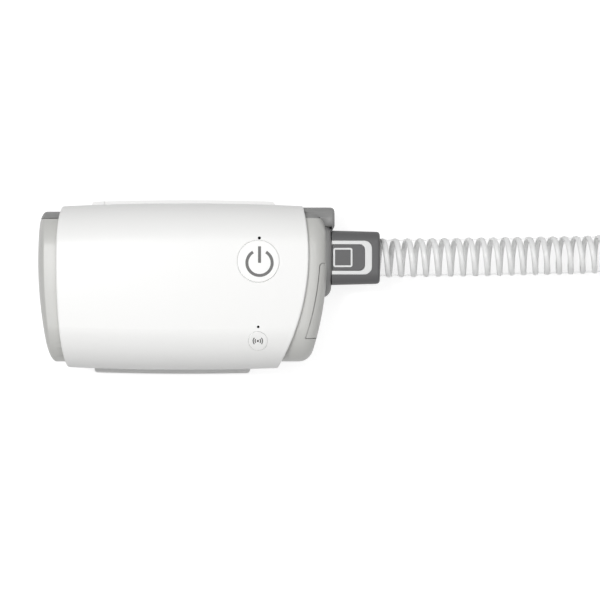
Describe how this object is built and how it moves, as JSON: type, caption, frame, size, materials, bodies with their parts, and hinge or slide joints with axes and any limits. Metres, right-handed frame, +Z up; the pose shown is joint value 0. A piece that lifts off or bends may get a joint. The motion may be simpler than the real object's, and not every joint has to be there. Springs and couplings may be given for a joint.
{
  "type": "travel cpap machine",
  "caption": "Compact bedside breathing machine: blower in a rounded two-tone casing with a power button, a wireless button and a squeeze-to-release hose on one end.",
  "frame": {"origin": "on the table, under the middle of the machine without its hose", "axes": "+X along the machine's length, towards the hose outlet; +Y towards the back, where the power inlet is; +Z up, out of the control face"},
  "size_m": [0.4965, 0.2272, 0.0521],
  "materials": {
    "casing_white": "satin moulded plastic",
    "cap_grey": "fine matt texture",
    "spine_grey": "fine matt texture",
    "button_white": "satin",
    "lamp_window": "smoked, clear",
    "connector_grey": "fine matt texture",
    "connector_pale": "satin",
    "hose_film": "clear film with a white spiral bead",
    "hose_coil_bulk": "clear film with a white spiral bead",
    "cuff_rubber": "matt",
    "swivel_clear": "clear",
    "foot_rubber": "matt",
    "soft_rubber": "matt silicone",
    "black_plastic": "matt",
    "inner_white": "matt",
    "foam": "open foam",
    "filter_fibre": "felt",
    "board_green": "solder mask over glass fibre",
    "steel": "machined",
    "copper": "enamelled wire",
    "magnet": "plain",
    "metal_can": "brushed",
    "contact_metal": "plated",
    "lead_red": "matt"
  },
  "bodies": {
    "machine": {"upper_shell": "casing_white", "bottom_shell": "casing_white", "front_foot_rail": "casing_white", "back_foot_rail": "casing_white", "outlet_end_cap": "cap_grey", "rear_spine": "spine_grey", "outlet_collar": "spine_grey", "power_lamp_window": "lamp_window", "wireless_lamp_window": "lamp_window", "foot_pads": "foot_rubber", "suspension_mounts": "soft_rubber", "outlet_duct": "soft_rubber", "outlet_seal": "soft_rubber", "sensor_grommet": "soft_rubber", "intake_frame": "black_plastic", "outlet_socket": "inner_white", "service_port": "black_plastic", "power_jack": "black_plastic", "power_jack_pin": "contact_metal", "power_switch": "black_plastic", "wireless_switch": "metal_can", "status_lamps": "inner_white", "filter_pad": "filter_fibre", "inlet_muffler": "foam", "chassis_tray": "inner_white", "blower_base": "inner_white", "blower_cover": "inner_white", "motor_bearings": "steel", "stator_core": "steel", "stator_windings": "copper", "main_board": "board_green", "board_chips": "black_plastic", "board_capacitors": "metal_can", "radio_module": "metal_can", "lead_socket": "inner_white", "motor_lead": "lead_red", "pressure_sensor": "black_plastic", "board_screws": "steel", "casing_screws": "steel"},
    "rotor": {"impeller": "black_plastic", "motor_shaft": "steel", "rotor_magnet": "magnet"},
    "power_button": {"power_button": "button_white", "power_plunger": "black_plastic"},
    "wireless_button": {"wireless_button": "button_white", "wireless_plunger": "black_plastic"},
    "filter_cover": {"filter_cover": "cap_grey"},
    "port_cover": {"port_cover": "cap_grey"},
    "connector": {"connector_sleeve": "connector_grey", "connector_core": "connector_pale", "connector_seal": "black_plastic", "air_hose": "hose_film", "hose_coil": "hose_coil_bulk", "hose_cuff": "cuff_rubber"},
    "latch_top": {"latch_tongue_top": "connector_grey"},
    "latch_bottom": {"latch_tongue_bottom": "connector_grey"},
    "mask_swivel": {"mask_swivel": "swivel_clear"}
  },
  "joints": [
    {"name": "power_button_press", "type": "slide", "parent": "machine", "child": "power_button", "axis": [0, 0, -1], "range_m": [0, 0.0006], "stiffness_N_per_m": 1500},
    {"name": "wireless_button_press", "type": "slide", "parent": "machine", "child": "wireless_button", "axis": [0, 0, -1], "range_m": [0, 0.0004], "stiffness_N_per_m": 1200},
    {"name": "filter_cover_pull", "type": "slide", "parent": "machine", "child": "filter_cover", "axis": [-1, 0, 0], "range_m": [0, 0.012]},
    {"name": "port_cover_pull", "type": "slide", "parent": "machine", "child": "port_cover", "axis": [1, 0, 0], "range_m": [0, 0.006]},
    {"name": "rotor_spin", "type": "hinge", "parent": "machine", "child": "rotor", "pos_m": [-0.01, -0.001, 0.025], "axis": [0, 0, 1], "continuous": true},
    {"name": "connector_pull", "type": "slide", "parent": "machine", "child": "connector", "axis": [1, 0, 0], "range_m": [0, 0.014]},
    {"name": "latch_top_press", "type": "hinge", "parent": "connector", "child": "latch_top", "pos_m": [0.07, 0.0135, 0.038], "axis": [0, 1, 0], "range_deg": [0, 4], "stiffness_Nm_per_rad": 0.05},
    {"name": "latch_bottom_press", "type": "hinge", "parent": "connector", "child": "latch_bottom", "pos_m": [0.07, 0.0135, 0.014], "axis": [0, -1, 0], "range_deg": [0, 4], "stiffness_Nm_per_rad": 0.05},
    {"name": "mask_swivel_turn", "type": "hinge", "parent": "connector", "child": "mask_swivel", "pos_m": [0.252, -0.166, 0.0328], "axis": [-1, 0, 0], "continuous": true}
  ]
}
